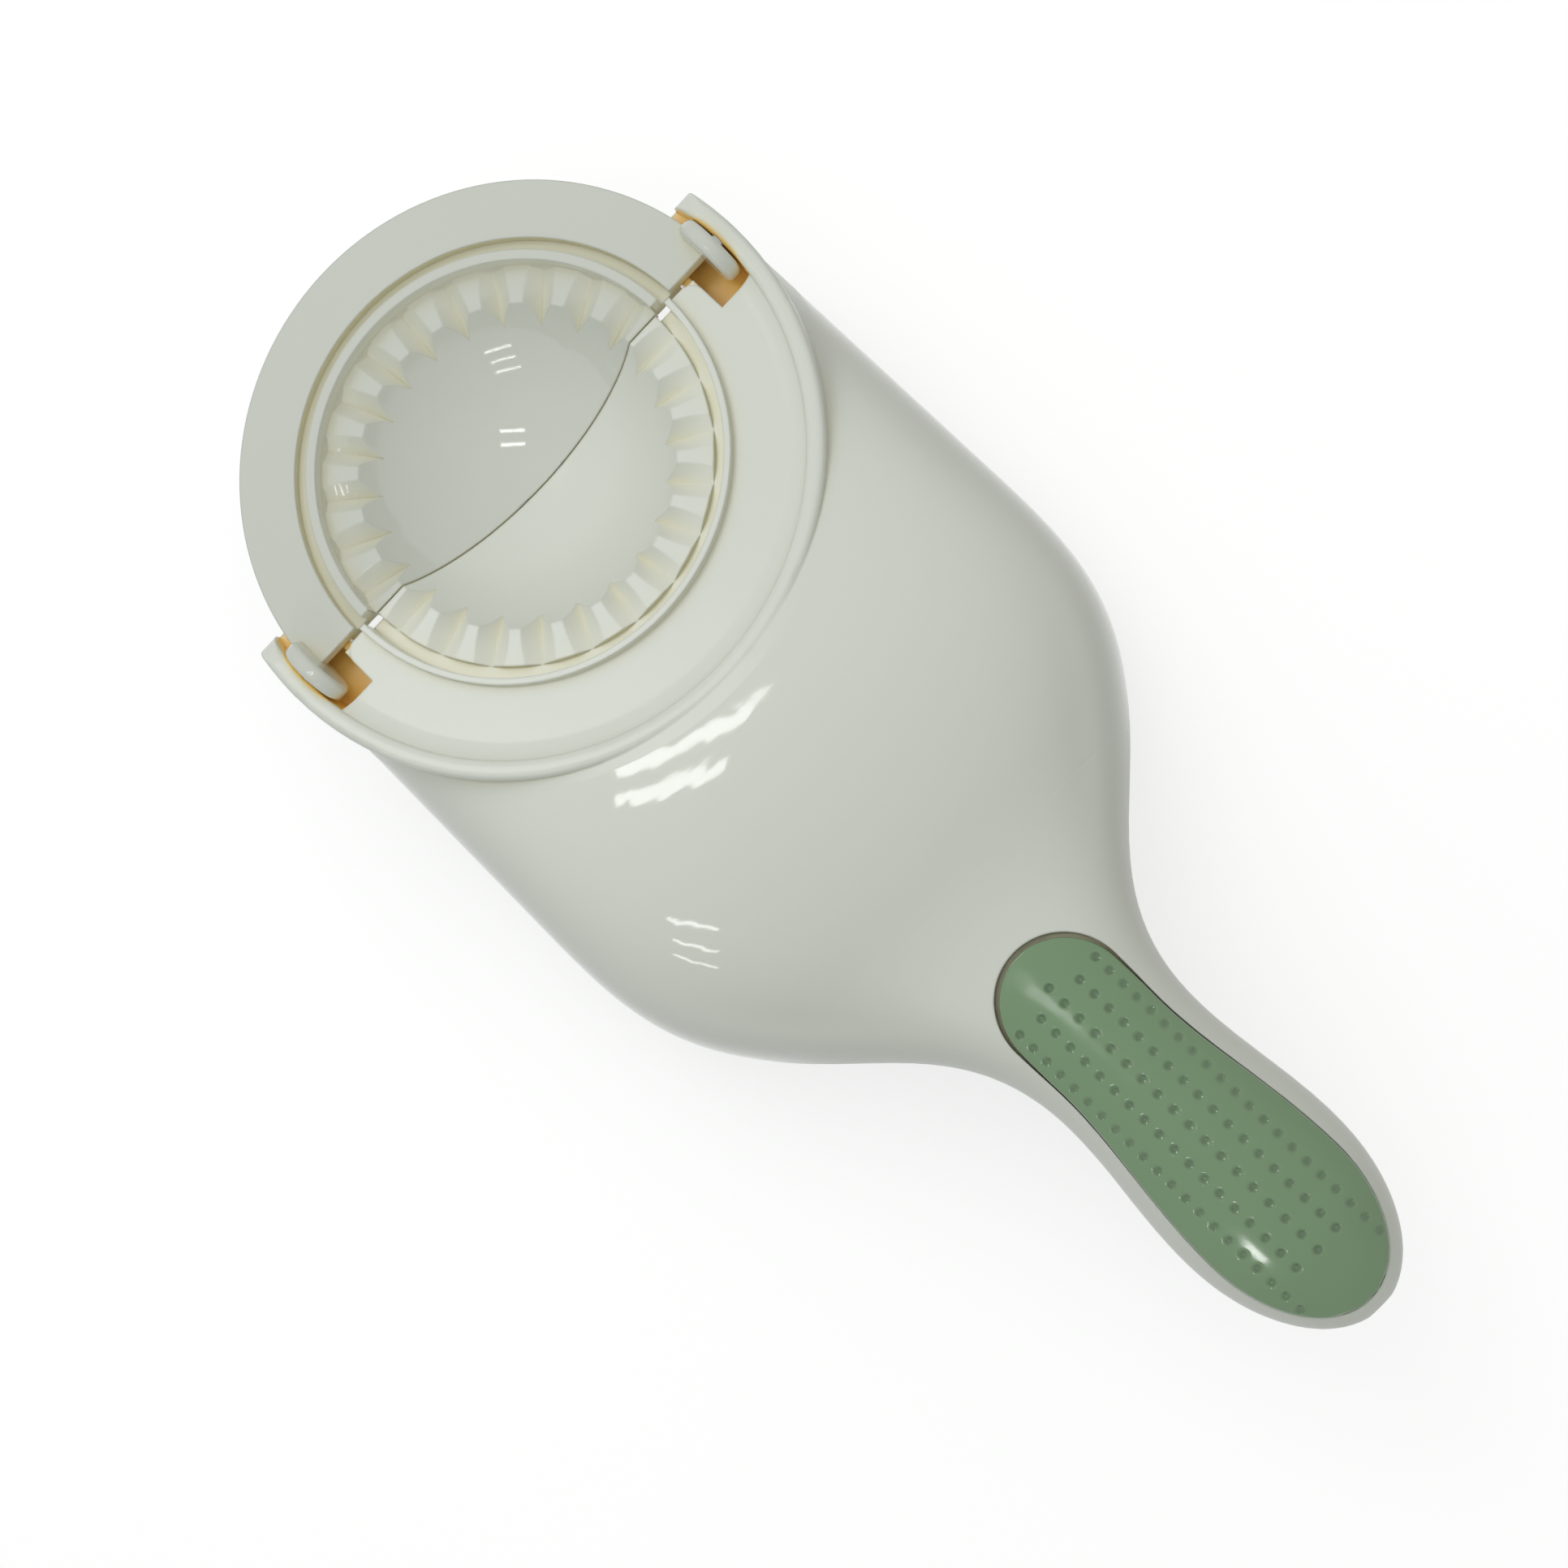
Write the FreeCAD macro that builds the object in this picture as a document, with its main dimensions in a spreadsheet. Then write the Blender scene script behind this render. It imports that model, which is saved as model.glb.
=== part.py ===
import FreeCAD, Part
import math
import os
import Sketcher
from FreeCAD import Placement, Rotation, Vector

# Hand-held empanada press. The body is a hollow shell with a handle, and carries the rear half of a
# round mould inside a raised collar. The front half is a flap that hangs on two pins in the collar's
# prongs and folds over onto the rear half. Lengths are in millimetres. Every piece is drawn about the
# point where the hinge line crosses the middle of the press, on the plane of the mould's flange, with
# +X towards the handle and +Z up, and is then placed with the press standing on the plane Z = 0.

SIZES = [
    # the mould, shared by its two halves
    ("bowl_radius", 28.5),
    ("bowl_depth", 18.0),
    ("band_drop", 1.8),
    ("band_radius", 34.9),
    ("mould_wall", 2.0),
    ("half_teeth", 12),
    ("valley_reach", 3.0),
    ("valley_half_width", 2.3),
    ("valley_clear", 1.0),
    ("flange_thick", 2.4),
    ("hinge_rise", 0.3),
    ("parting_gap", 0.3),
    # the seal: ridge and channel behind, lip and groove in front
    ("channel_width", 2.5),
    ("ridge_width", 1.2),
    ("ridge_rise", 1.8),
    ("channel_depth", 3.0),
    ("lip_rise", 1.2),
    ("groove_depth", 1.9),
    ("seal_gap", 0.35),
    ("groove_gap", 0.9),
    # the flap and its ears
    ("flap_radius", 49.7),
    ("flap_setback", 0.5),
    ("rear_setback", 1.0),
    ("ear_radius", 6.3),
    ("ear_thick", 3.4),
    ("ear_gap", 0.4),
    ("ear_round", 1.1),
    # the collar, its prongs and the notches beside the ears
    ("collar_radius", 51.4),
    ("collar_wall", 3.4),
    ("collar_rise", 2.6),
    ("collar_drop", 12.0),
    ("collar_round", 1.2),
    ("cove_width", 3.2),
    ("prong_reach", 10.5),
    ("prong_drop", 9.0),
    ("prong_round", 5.0),
    ("notch_reach", 8.5),
    ("notch_side", 7.8),
    ("notch_round", 2.6),
    # the cups under the notches, in which the ears turn
    ("cup_wall", 1.2),
    ("cup_way", 0.8),
    ("flange_way", 0.5),
    # the hinge pins
    ("pin_radius", 1.5),
    ("pin_play", 0.05),
    ("pin_sink", 0.6),
    ("pin_seat", 2.6),
    ("pin_bevel", 0.3),
    # the body and the handle
    ("front_wall", 2.0),
    ("body_margin", 1.6),
    ("body_top", 2.5),
    ("body_widest", 30.5),
    ("base_drop", 38.0),
    ("belly_drop", 2.5),
    ("shoulder_place", 61.5),
    ("neck_place", 145.0),
    ("neck_half_width", 14.7),
    ("bulb_place", 173.0),
    ("bulb_half_width", 16.8),
    ("tail_length", 25.6),
    ("handle_top", 4.6),
    ("handle_widest", 7.7),
    ("handle_drop", 18.0),
    ("shell_wall", 2.4),
    ("split_drop", 1.5),
    # the green grip
    ("grip_place", 120.2),
    ("grip_nose", 10.9),
    ("grip_waist", 10.6),
    ("grip_waist_place", 142.0),
    ("grip_bulb", 13.4),
    ("grip_bulb_place", 176.0),
    ("grip_tail", 20.0),
    ("grip_thick", 2.0),
    ("grip_proud", 0.4),
    ("grip_seat", 2.0),
    ("grip_gap", 0.35),
    ("grip_bond", 0.1),
    # the screws that hold the base cover
    ("screw_radius", 1.3),
    ("screw_length", 10.0),
    ("screw_depth", 3.5),
    ("screw_play", 0.25),
    ("head_radius", 2.7),
    ("head_height", 1.8),
    ("head_play", 0.4),
    ("boss_wall", 2.0),
    # how far a cutting solid runs past what it cuts
    ("overrun", 5.0),
]

# The curve of the shoulder from the body to the neck: its power and how far it leans back.
SHOULDER_POWER = 2.0
SHOULDER_LEAN = 0.55

# Arms of the curves that make a cross-section, as shares of its half width and of its heights.
BODY_ARM_SHARES = (0.87, 0.88, 0.80, 0.90)
HANDLE_ARM_SHARES = (0.66, 0.54, 0.62, 0.62)

# Sections that the hull is lofted through: equal steps to the bulb, then turns of the rounded tail.
BODY_STEPS = 12
TAIL_STEPS = 5
TAIL_END_SHARE = 0.985

# Arm of a quarter round, as a share of its radius.
ROUND_ARM_SHARE = 0.5523

# Places of the cover's screws: along, as a share of the way from the hinge line to the bulb, and
# across, as a share of the half width there.
SCREW_PLACE_SHARES = [(0.15, 0.80), (0.15, -0.80), (0.46, 0.72), (0.46, -0.72), (0.95, 0.0)]

doc = FreeCAD.newDocument("EmpanadaPress")
sheet = doc.addObject("Spreadsheet::Sheet", "Sizes")
for row, (alias, value) in enumerate(SIZES, start=1):
    sheet.set("A%d" % row, alias.replace("_", " "))
    sheet.set("B%d" % row, str(value))
    sheet.setAlias("B%d" % row, alias)
doc.recompute()


class Measure:
    """A length that knows its value and the formula that gives it from the sheet."""

    def __init__(self, value, formula):
        self.value = float(value)
        self.formula = formula

    def joined(self, sign, other, value):
        text = other.formula if isinstance(other, Measure) else repr(other)
        return Measure(value, "(%s %s %s)" % (self.formula, sign, text))

    def __add__(self, other):
        return self.joined("+", other, self.value + plain(other))

    def __sub__(self, other):
        return self.joined("-", other, self.value - plain(other))

    def __mul__(self, other):
        return self.joined("*", other, self.value * plain(other))

    def __truediv__(self, other):
        return self.joined("/", other, self.value / plain(other))

    def root(self):
        return Measure(math.sqrt(self.value), "sqrt(%s)" % self.formula)


def plain(item):
    return item.value if isinstance(item, Measure) else float(item)


def size(alias):
    return Measure(getattr(sheet, alias), "Sizes.%s" % alias)


def leg(long_side, short_side):
    """The other short side of a right-angled triangle."""
    return (long_side * long_side - short_side * short_side).root()


ZERO = Measure(0.0, "0")
COLLAR = size("collar_radius")
COLLAR_OUTSIDE = COLLAR + size("collar_wall")
RIDGE = size("band_radius") + size("channel_width")
RIDGE_OUTSIDE = RIDGE + size("ridge_width")
GROOVE_EDGE = RIDGE_OUTSIDE + size("groove_gap")
LIP_INSIDE = size("band_radius") + size("seal_gap")
LIP_OUTSIDE = RIDGE - size("seal_gap")
BODY_HALF_WIDTH = COLLAR_OUTSIDE + size("body_margin")
HALF_GAP = size("parting_gap") / 2
RIM_FOOT = size("collar_rise") - size("collar_round")

# The bowl is a cap of a ball whose middle lies above the flange.
CAP_DEPTH = size("bowl_depth") - size("band_drop")
BALL = (size("bowl_radius") * size("bowl_radius") + CAP_DEPTH * CAP_DEPTH) / (CAP_DEPTH * 2)
BALL_RISE = BALL - size("bowl_depth")
BALL_OUTSIDE = BALL + size("mould_wall")

# The crimp's valleys run from the channel's floor down to the bowl, past its edge.
VALLEY_FOOT = size("bowl_radius") - size("valley_reach")
PITCH = Measure(180.0, "180") / size("half_teeth")
VALLEY_DROP = leg(BALL, VALLEY_FOOT) - BALL_RISE
RIM_DEPTH = size("channel_depth") - size("band_drop")
VALLEY_FALL = VALLEY_DROP - size("band_drop") - RIM_DEPTH
VALLEY_SLOPE = VALLEY_FALL / (size("band_radius") - VALLEY_FOOT)
ROOT_DROP = VALLEY_DROP + size("mould_wall") / 2
ROOT_RADIUS = leg(BALL_OUTSIDE, BALL_RISE + ROOT_DROP)

# The counterbore that takes a screw's head.
HEAD_WAY = size("head_radius") + size("head_play")

# The cups that the ears turn in are as deep as the prongs.
CUP_FLOOR = size("prong_drop") - size("cup_wall")

# The ears turn inside a ball a little smaller than the collar.
EAR_BALL = COLLAR - size("ear_gap")
EAR_INSIDE = EAR_BALL - size("ear_thick")
PIN_FLOOR = EAR_BALL - size("pin_seat")


def origin_part(body, role):
    return next(item for item in body.Origin.OriginFeatures if item.Role == role)


def new_body(label):
    body = doc.addObject("PartDesign::Body", label)
    body.Label = label
    return body


def outline(body, role, name, corners, arcs=None, flip=1):
    """A closed sketch through the corners. arcs gives, by the corner that it starts from, an arc's
    radius and its turn: 1 against the clock, -1 with it. flip of -1 mirrors it left to right."""
    sketch = body.newObject("Sketcher::SketchObject", name)
    sketch.AttachmentSupport = [(origin_part(body, role), "")]
    sketch.MapMode = "FlatFace"
    arcs = arcs or {}
    points = [Vector(flip * plain(across), plain(up), 0) for across, up in corners]
    ends = []
    for index, start in enumerate(points):
        finish = points[(index + 1) % len(points)]
        if index in arcs:
            radius, turn = arcs[index]
            chord = finish - start
            half = chord.Length / 2
            sagitta = plain(radius) - math.sqrt(max(plain(radius) ** 2 - half ** 2, 0))
            side = Vector(chord.y, -chord.x, 0).normalize() * (sagitta * turn * flip)
            sketch.addGeometry(Part.Arc(start, (start + finish) / 2 + side, finish), False)
            ends.append((1, 2) if turn * flip > 0 else (2, 1))
        else:
            sketch.addGeometry(Part.LineSegment(start, finish), False)
            ends.append((1, 2))
    for index, (first, last) in enumerate(ends):
        following = (index + 1) % len(ends)
        sketch.addConstraint(Sketcher.Constraint("Coincident", index, last, following, ends[following][0]))
    for index, (across, up) in enumerate(corners):
        pin_point(sketch, index, ends[index][0], across * flip, up)
    for index, (radius, turn) in arcs.items():
        number = sketch.addConstraint(Sketcher.Constraint("Radius", index, plain(radius)))
        sketch.setExpression("Constraints[%d]" % number, radius.formula)
    return sketch


def pin_point(sketch, geometry, position, across, up):
    for kind, axis, measure in (("DistanceX", -2, across), ("DistanceY", -1, up)):
        if abs(measure.value) < 1e-9:
            sketch.addConstraint(Sketcher.Constraint("PointOnObject", geometry, position, axis))
            continue
        number = sketch.addConstraint(
            Sketcher.Constraint(kind, -1, 1, geometry, position, measure.value))
        sketch.setExpression("Constraints[%d]" % number, measure.formula)


def turned(body, kind, name, sketch, angle, axis="V_Axis"):
    feature = body.newObject("PartDesign::%s" % kind, name)
    feature.Profile = sketch
    feature.ReferenceAxis = (sketch, [axis])
    feature.Midplane = True
    feature.Angle = angle
    return feature


def pocketed(body, name, sketch, length):
    feature = body.newObject("PartDesign::Pocket", name)
    feature.Profile = sketch
    feature.Midplane = True
    feature.setExpression("Length", length.formula)
    return feature


def circle_sketch(body, role, name, across, up, radius):
    sketch = body.newObject("Sketcher::SketchObject", name)
    sketch.AttachmentSupport = [(origin_part(body, role), "")]
    sketch.MapMode = "FlatFace"
    centre = Vector(plain(across), plain(up), 0)
    sketch.addGeometry(Part.Circle(centre, Vector(0, 0, 1), plain(radius)), False)
    pin_point(sketch, 0, 3, across, up)
    number = sketch.addConstraint(Sketcher.Constraint("Radius", 0, plain(radius)))
    sketch.setExpression("Constraints[%d]" % number, radius.formula)
    return sketch


def crimp_valleys(body, first_angle, outer):
    """V-shaped valleys all round one half of the band, cut as a loft from outer inwards and repeated."""
    clear = size("valley_clear")
    top = clear - size("band_drop")
    sections = []
    for name, radius in (("ValleyRim", outer), ("ValleyFoot", VALLEY_FOOT - clear)):
        depth = RIM_DEPTH + VALLEY_SLOPE * (size("band_radius") - radius)
        half = size("valley_half_width") * (clear + depth) / depth
        corners = [(ZERO - half, top), (ZERO, ZERO - size("band_drop") - depth), (half, top)]
        sketch = outline(body, "YZ_Plane", body.Name + name, corners)
        sketch.AttachmentOffset = Placement(Vector(), Rotation(Vector(0, 1, 0), first_angle.value))
        angle = "(%s) * 1 deg" % first_angle.formula
        sketch.setExpression("AttachmentOffset.Base.x", "%s * sin(%s)" % (radius.formula, angle))
        sketch.setExpression("AttachmentOffset.Base.z", "%s * cos(%s)" % (radius.formula, angle))
        sections.append(sketch)
    valley = body.newObject("PartDesign::SubtractiveLoft", body.Name + "Valley")
    valley.Profile = sections[0]
    valley.Sections = [sections[1]]
    valley.Ruled = True
    doc.recompute()
    pattern = body.newObject("PartDesign::PolarPattern", body.Name + "Valleys")
    pattern.Originals = [valley]
    pattern.Axis = (origin_part(body, "Z_Axis"), [""])
    pattern.setExpression("Angle", "180 - %s" % PITCH.formula)
    pattern.setExpression("Occurrences", "Sizes.half_teeth")
    body.Tip = pattern
    doc.recompute()


def build_front_mould():
    """The flap: half a mould turned about the bowl's axis, with two hinge ears."""
    body = new_body("front_mould")
    groove_floor = ZERO - size("groove_depth")
    shelf = groove_floor - size("mould_wall")
    skirt = GROOVE_EDGE + size("mould_wall")
    corners = [
        (ZERO, ZERO - size("bowl_depth")),
        (size("bowl_radius"), ZERO - size("band_drop")),
        (LIP_INSIDE, ZERO - size("band_drop")),
        (LIP_INSIDE, size("lip_rise")),
        (LIP_OUTSIDE, size("lip_rise")),
        (LIP_OUTSIDE, groove_floor),
        (GROOVE_EDGE, groove_floor),
        (GROOVE_EDGE, ZERO),
        (size("flap_radius"), ZERO),
        (size("flap_radius"), ZERO - size("flange_thick")),
        (skirt, ZERO - size("flange_thick")),
        (skirt, shelf),
        (size("band_radius"), shelf),
        (ROOT_RADIUS, ZERO - ROOT_DROP),
        (ZERO, ZERO - size("bowl_depth") - size("mould_wall")),
    ]
    arcs = {0: (BALL, 1), 13: (BALL_OUTSIDE, -1)}
    sketch = outline(body, "XZ_Plane", "FlapProfile", corners, arcs, flip=-1)
    turned(body, "Revolution", "FlapTurned", sketch, 180)
    drop = size("bowl_depth") + size("mould_wall")
    trim_parting(body, "Flap", LIP_INSIDE, size("flap_setback"), -1, COLLAR, drop)
    add_ears(body)
    crimp_valleys(body, Measure(90.0, "90") + PITCH / 2, size("band_radius"))
    return body


def trim_parting(body, prefix, step_radius, setback, toward, far, drop):
    """Cuts a half's parting face back from the hinge line: a hair at the bowl, more at the flange."""
    corners = [
        (ZERO, ZERO - far),
        (setback, ZERO - far),
        (setback, ZERO - step_radius),
        (HALF_GAP, ZERO - step_radius),
        (HALF_GAP, step_radius),
        (setback, step_radius),
        (setback, far),
        (ZERO, far),
    ]
    sketch = outline(body, "XY_Plane", prefix + "Parting", corners, flip=toward)
    pocketed(body, prefix + "PartingCut", sketch, drop * 2)


def add_ears(body):
    """Two round ears about the hinge line, each with a blind hole for its pin."""
    axis = size("hinge_rise")
    rim = size("ear_radius")
    shoulder = rim - size("ear_round")
    bore = size("pin_radius") + size("pin_play")
    face = leg(EAR_BALL, shoulder)
    ear = [
        (EAR_INSIDE, axis),
        (EAR_INSIDE, axis + shoulder),
        (EAR_INSIDE + size("ear_round"), axis + rim),
        (face - size("ear_round"), axis + rim),
        (face, axis + shoulder),
        (EAR_BALL, axis),
    ]
    arcs = {1: (size("ear_round"), -1), 3: (size("ear_round"), -1), 4: (EAR_BALL, -1)}
    hole = [
        (PIN_FLOOR, axis),
        (PIN_FLOOR, axis + bore),
        (COLLAR, axis + bore),
        (COLLAR, axis),
    ]
    for name, flip in (("Left", 1), ("Right", -1)):
        sketch = outline(body, "YZ_Plane", "Ear%s" % name, ear, arcs, flip=flip)
        hinge_axis(sketch, axis)
        turned(body, "Revolution", "Ear%sTurned" % name, sketch, 360, axis="Axis0")
        sketch = outline(body, "YZ_Plane", "Ear%sHole" % name, hole, flip=flip)
        hinge_axis(sketch, axis)
        turned(body, "Groove", "Ear%sBored" % name, sketch, 360, axis="Axis0")


def hinge_axis(sketch, height):
    """A construction line along the hinge, for what is turned about it."""
    line = sketch.GeometryCount
    reach = plain(COLLAR)
    rise = plain(height)
    sketch.addGeometry(Part.LineSegment(Vector(-reach, rise, 0), Vector(reach, rise, 0)), True)
    pin_point(sketch, line, 1, ZERO - COLLAR, height)
    pin_point(sketch, line, 2, COLLAR, height)


def build_hinge_pin(label, flip):
    """A plain pin with bevelled ends, from the foot of the ear's hole to just inside the prong."""
    body = new_body(label)
    axis = size("hinge_rise")
    start = PIN_FLOOR + size("pin_bevel")
    end = COLLAR_OUTSIDE - size("pin_sink")
    bevel = size("pin_bevel")
    radius = size("pin_radius")
    corners = [
        (start, axis),
        (start, axis + radius - bevel),
        (start + bevel, axis + radius),
        (end - bevel, axis + radius),
        (end, axis + radius - bevel),
        (end, axis),
    ]
    sketch = outline(body, "YZ_Plane", label + "Profile", corners, flip=flip)
    hinge_axis(sketch, axis)
    turned(body, "Revolution", label + "Turned", sketch, 360, axis="Axis0")
    doc.recompute()
    return body


def share_of_body(place):
    """1 on the body, 0 on the handle, and the shoulder's curve between them."""
    way = (place - plain(size("shoulder_place"))) / plain(size("neck_place") - size("shoulder_place"))
    way = min(max(way, 0.0), 1.0)
    falling = (1 - way) ** SHOULDER_POWER
    return falling / (falling + SHOULDER_LEAN * way ** SHOULDER_POWER)


def share_of_bulb(place):
    """0 at the neck, 1 at the bulb, easing in and out."""
    way = (place - plain(size("neck_place"))) / plain(size("bulb_place") - size("neck_place"))
    return (1 - math.cos(math.pi * min(max(way, 0.0), 1.0))) / 2


def between(body_value, handle_value, share):
    return body_value * share + handle_value * (1 - share)


def half_width_at(place):
    neck = plain(size("neck_half_width"))
    handle = between(plain(size("bulb_half_width")), neck, share_of_bulb(place))
    return between(plain(BODY_HALF_WIDTH), handle, share_of_body(place))


def widest_at(place):
    share = share_of_body(place)
    return -between(plain(size("body_widest")), plain(size("handle_widest")), share)


def split_at(place):
    return widest_at(place) - plain(size("split_drop"))


def section_wire(place, half_width, widest, top, bottom, arms):
    """A rounded cross-section: four curves that meet square at its top, sides and bottom."""
    top_arm, side_arm, flank_arm, foot_arm = arms
    crown = Vector(place, 0, top)
    keel = Vector(place, 0, bottom)
    edges = []
    for side in (1, -1):
        flank = Vector(place, side * half_width, widest)
        upper = [
            crown,
            crown + Vector(0, side * half_width * top_arm, 0),
            flank + Vector(0, 0, (top - widest) * side_arm),
            flank,
        ]
        lower = [
            flank,
            flank + Vector(0, 0, (bottom - widest) * flank_arm),
            keel + Vector(0, side * half_width * foot_arm, 0),
            keel,
        ]
        for poles in (upper, lower):
            curve = Part.BezierCurve()
            curve.setPoles(poles)
            edges.append(curve.toShape())
    right_upper, right_lower, left_upper, left_lower = edges
    return Part.Wire([right_upper, right_lower, left_lower, left_upper])


def hull_shape(inset, start):
    """The hull of body and handle, drawn in by inset, from start to the end of the tail."""
    bulb = plain(size("bulb_place"))
    tail = plain(size("tail_length")) - inset
    wires = []
    for step in range(BODY_STEPS + TAIL_STEPS + 1):
        if step <= BODY_STEPS:
            place = start + (bulb - start) * step / BODY_STEPS
            shrink = 1.0
            along = place
        else:
            turn = math.asin(TAIL_END_SHARE) * (step - BODY_STEPS) / TAIL_STEPS
            place = bulb
            shrink = math.cos(turn)
            along = bulb + tail * math.sin(turn) / TAIL_END_SHARE
        share = share_of_body(place)
        widest = widest_at(place)
        top = between(plain(size("body_top")), plain(size("handle_top")), share) - inset
        keel = plain(size("base_drop") + size("belly_drop"))
        bottom = -between(keel, plain(size("handle_drop")), share) + inset
        half_width = half_width_at(place) - inset
        arms = [between(a, b, share) for a, b in zip(BODY_ARM_SHARES, HANDLE_ARM_SHARES)]
        wires.append(section_wire(
            along,
            half_width * shrink,
            widest,
            widest + (top - widest) * shrink,
            widest + (bottom - widest) * shrink,
            arms))
    hull = Part.makeLoft(wires, True, False)
    floor = -plain(size("base_drop")) + inset
    over = plain(size("overrun"))
    reach = plain(COLLAR_OUTSIDE) + over
    length = bulb + plain(size("tail_length")) + over * 2
    above = Part.makeBox(length, reach * 2, reach * 2, Vector(-over, -reach, floor))
    return hull.common(above)


def shape_object(name, shape):
    item = doc.addObject("Part::Feature", name)
    item.Shape = shape
    return item


def cut(name, base, tool):
    item = doc.addObject("Part::Cut", name)
    item.Base = base
    item.Tool = tool
    return item


def common(name, base, tool):
    item = doc.addObject("Part::Common", name)
    item.Base = base
    item.Tool = tool
    return item


def fused(name, pieces):
    item = doc.addObject("Part::MultiFuse", name)
    item.Shapes = pieces
    item.Refine = False
    return item


def tail_rounds(centre, half_width, length):
    """Two quarter rounds that close a plan outline at its tail."""
    arm = ROUND_ARM_SHARE
    curves = []
    tip = centre + Vector(length, 0, 0)
    for side in (1, -1):
        edge = centre + Vector(0, side * half_width, 0)
        curve = Part.BezierCurve()
        curve.setPoles([
            edge,
            edge + Vector(length * arm, 0, 0),
            tip + Vector(0, side * half_width * arm, 0),
            tip,
        ])
        curves.append(curve.toShape())
    return curves


def grip_prism(gap):
    """The grip's plan outline, wider all round by gap, as an upright prism through the handle's top."""
    floor = -plain(size("handle_widest"))
    nose = plain(size("grip_nose")) + gap
    start = Vector(plain(size("grip_place") + size("grip_nose")), 0, floor)
    bulb = Vector(plain(size("grip_bulb_place")), 0, floor)
    wide = plain(size("grip_bulb")) + gap
    waist = Vector(plain(size("grip_waist_place")), plain(size("grip_waist")) + gap, floor)
    ahead = Vector(1, 0, 0)
    rounded = Part.Arc(start + Vector(0, nose, 0), start - Vector(nose, 0, 0), start - Vector(0, nose, 0))
    edges = [rounded.toShape()]
    for side in (1, -1):
        flank = Part.BSplineCurve()
        flank.interpolate(
            [start + Vector(0, side * nose, 0),
             Vector(waist.x, side * waist.y, floor),
             bulb + Vector(0, side * wide, 0)],
            InitialTangent=ahead,
            FinalTangent=ahead)
        edges.append(flank.toShape())
    edges += tail_rounds(bulb, wide, plain(size("grip_tail")) + gap)
    wire = Part.Wire(Part.sortEdges(edges)[0])
    return Part.Face(wire).extrude(Vector(0, 0, plain(size("handle_top") + size("overrun")) - floor))


def split_zone():
    """Everything above the line on which the shell and its cover meet, just under the hull's widest
    level."""
    over = plain(size("overrun"))
    side = plain(COLLAR_OUTSIDE) + over
    start = plain(size("shoulder_place"))
    end = plain(size("neck_place"))
    last = plain(size("bulb_place") + size("tail_length")) + over
    top = plain(size("handle_top")) + over
    rise = [
        Vector(start + (end - start) * step / BODY_STEPS, -side, 0)
        for step in range(BODY_STEPS + 1)
    ]
    for point in rise:
        point.z = split_at(point.x)
    curve = Part.BSplineCurve()
    curve.interpolate(rise, InitialTangent=Vector(1, 0, 0), FinalTangent=Vector(1, 0, 0))
    corners = [
        rise[-1],
        Vector(last, -side, rise[-1].z),
        Vector(last, -side, top),
        Vector(-side, -side, top),
        Vector(-side, -side, rise[0].z),
        rise[0],
    ]
    wire = Part.Wire([curve.toShape()] + Part.makePolygon(corners).Edges)
    return Part.Face(wire).extrude(Vector(0, side * 2, 0))


def screw_places():
    """Each screw's place and the level of the split line above it."""
    places = []
    for along, across in SCREW_PLACE_SHARES:
        place = plain(size("bulb_place")) * along
        places.append(Vector(place, half_width_at(place) * across, split_at(place)))
    return places


def upright(radius, low, high, place):
    return Part.makeCylinder(radius, high - low, Vector(place.x, place.y, low))


def posts(radius):
    """A full-height post at each screw."""
    low = -plain(size("base_drop") + size("overrun"))
    high = plain(size("handle_top") + size("overrun"))
    return Part.makeCompound([upright(radius, low, high, place) for place in screw_places()])


def pilot_holes():
    """The holes in the shell's bosses that the screws cut their thread in."""
    tip = plain(size("screw_length") - size("screw_depth"))
    radius = plain(size("screw_radius"))
    return Part.makeCompound([
        upright(radius, place.z - WALL, place.z + tip, place) for place in screw_places()])


def screw_ways():
    """The holes in the cover: one for each screw's shank, and a wider one below it for the head."""
    shank = plain(size("screw_radius") + size("screw_play"))
    low = -plain(size("base_drop") + size("overrun"))
    ways = []
    for place in screw_places():
        seat = place.z - plain(size("screw_depth"))
        way = upright(shank, seat - WALL, place.z + WALL, place)
        ways.append(way.fuse(upright(plain(HEAD_WAY), low, seat, place)))
    return Part.makeCompound(ways)


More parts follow.
